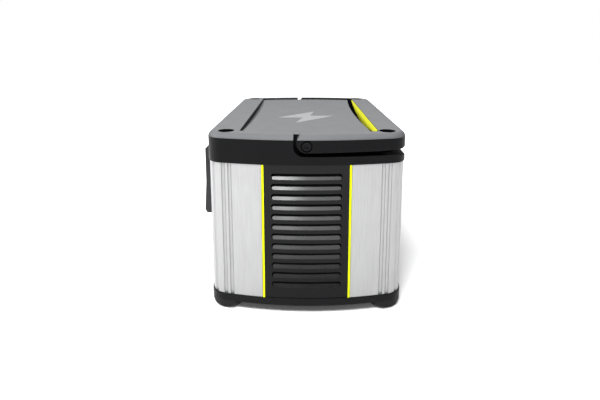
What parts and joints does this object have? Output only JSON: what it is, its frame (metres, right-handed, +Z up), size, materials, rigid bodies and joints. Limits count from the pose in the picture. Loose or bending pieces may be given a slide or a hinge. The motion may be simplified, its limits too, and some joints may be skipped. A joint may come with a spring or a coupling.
{
  "type": "portable power station",
  "caption": "Boxy portable battery power station with bowed louvred ends, silver shells, lime trim and a folding bail handle on its lid.",
  "frame": {"origin": "middle of the footprint of the whole object, on the surface it stands on", "axes": "+X to the right-hand grille end, +Y to the back where the folded handle lies, -Y to the front panel, +Z up"},
  "size_m": [0.287, 0.1938, 0.173],
  "materials": {
    "lid_plastic": "satin moulded, fine grain",
    "base_plastic": "satin moulded, fine grain",
    "grille_plastic": "satin moulded",
    "shell_aluminium": "fine bead blasted, clear anodised",
    "lime_trim": "satin moulded, lime green",
    "lime_grip": "soft touch, lime green",
    "handle_plastic": "satin moulded, fine grain",
    "foot_rubber": "matt",
    "screw_steel": "black zinc plated",
    "pivot_steel": "black zinc plated",
    "bush_plastic": "plain bearing plastic",
    "panel_plastic": "satin moulded",
    "window_clear": "smoked polycarbonate",
    "display_glass": "liquid crystal display",
    "board_green": "solder mask",
    "button_rubber": "matt",
    "port_metal": "nickel plated",
    "socket_plastic": "black",
    "outlet_plastic": "moulded",
    "cell_wrap": "shrink sleeve",
    "holder_plastic": "moulded",
    "nickel": "nickel strip",
    "lead_sleeve": "silicone sleeve",
    "shelf_steel": "zinc plated sheet",
    "heat_sink_metal": "extruded",
    "ferrite": "ferrite core",
    "coil_copper": "enamelled wire and tape",
    "capacitor_sleeve": "shrink sleeve",
    "filter_foam": "open-cell foam",
    "fan_plastic": "moulded"
  },
  "bodies": {
    "case": {"ac_outlet_left": "outlet_plastic", "ac_outlet_right": "outlet_plastic", "base_screws": "screw_steel", "base_tray": "base_plastic", "battery_cells": "cell_wrap", "battery_leads": "lead_sleeve", "bms_board": "board_green", "board_screws": "screw_steel", "board_standoffs": "screw_steel", "capacitors": "capacitor_sleeve", "car_socket": "socket_plastic", "car_socket_contact": "port_metal", "cell_busbars": "nickel", "cell_holder_lower": "holder_plastic", "cell_holder_upper": "holder_plastic", "charge_board": "board_green", "charge_port": "socket_plastic", "chassis_shelf": "shelf_steel", "control_board": "board_green", "dc_ports": "socket_plastic", "display_bezel": "panel_plastic", "display_module": "display_glass", "display_window": "window_clear", "dust_filter_left": "filter_foam", "dust_filter_right": "filter_foam", "end_grille_left": "grille_plastic", "end_grille_right": "grille_plastic", "fan_frame": "fan_plastic", "foot_front_left": "foot_rubber", "foot_front_right": "foot_rubber", "foot_rear_left": "foot_rubber", "foot_rear_right": "foot_rubber", "front_shell": "shell_aluminium", "heat_sink": "heat_sink_metal", "inductors": "coil_copper", "inverter_board": "board_green", "lid": "lid_plastic", "lid_screws": "screw_steel", "pivot_screw_left": "pivot_steel", "pivot_screw_right": "pivot_steel", "port_panel": "panel_plastic", "rear_shell": "shell_aluminium", "transformer_coil": "coil_copper", "transformer_core": "ferrite", "trim_strip_front_left": "lime_trim", "trim_strip_front_right": "lime_trim", "trim_strip_rear_left": "lime_trim", "trim_strip_rear_right": "lime_trim", "usb_a_ports": "port_metal", "usb_board": "board_green", "usb_c_ports": "port_metal"},
    "handle": {"handle": "handle_plastic", "handle_grip_insert": "lime_grip", "pivot_bush_right": "bush_plastic", "pivot_bush_left": "bush_plastic"},
    "button_12v": {"button_12v": "button_rubber"},
    "button_usb": {"button_usb": "button_rubber"},
    "button_light": {"button_light": "button_rubber"},
    "button_ac": {"button_ac": "button_rubber"},
    "fan_rotor": {"fan_rotor": "fan_plastic"}
  },
  "joints": [
    {"name": "handle_lift", "type": "hinge", "parent": "case", "child": "handle", "pos_m": [0, 0.0037, 0.1628], "axis": [1, 0, 0], "range_deg": [0, 90]},
    {"name": "button_12v_press", "type": "slide", "parent": "case", "child": "button_12v", "axis": [0, 1, 0], "range_m": [0, 0.0008], "stiffness_N_per_m": 400, "springref_m": -0.0008},
    {"name": "button_usb_press", "type": "slide", "parent": "case", "child": "button_usb", "axis": [0, 1, 0], "range_m": [0, 0.0008], "stiffness_N_per_m": 400, "springref_m": -0.0008},
    {"name": "button_light_press", "type": "slide", "parent": "case", "child": "button_light", "axis": [0, 1, 0], "range_m": [0, 0.0008], "stiffness_N_per_m": 400, "springref_m": -0.0008},
    {"name": "button_ac_press", "type": "slide", "parent": "case", "child": "button_ac", "axis": [0, 1, 0], "range_m": [0, 0.0008], "stiffness_N_per_m": 400, "springref_m": -0.0008},
    {"name": "fan_spin", "type": "hinge", "parent": "case", "child": "fan_rotor", "pos_m": [-0.11775, 0.0037, 0.112], "axis": [1, 0, 0], "continuous": true}
  ]
}
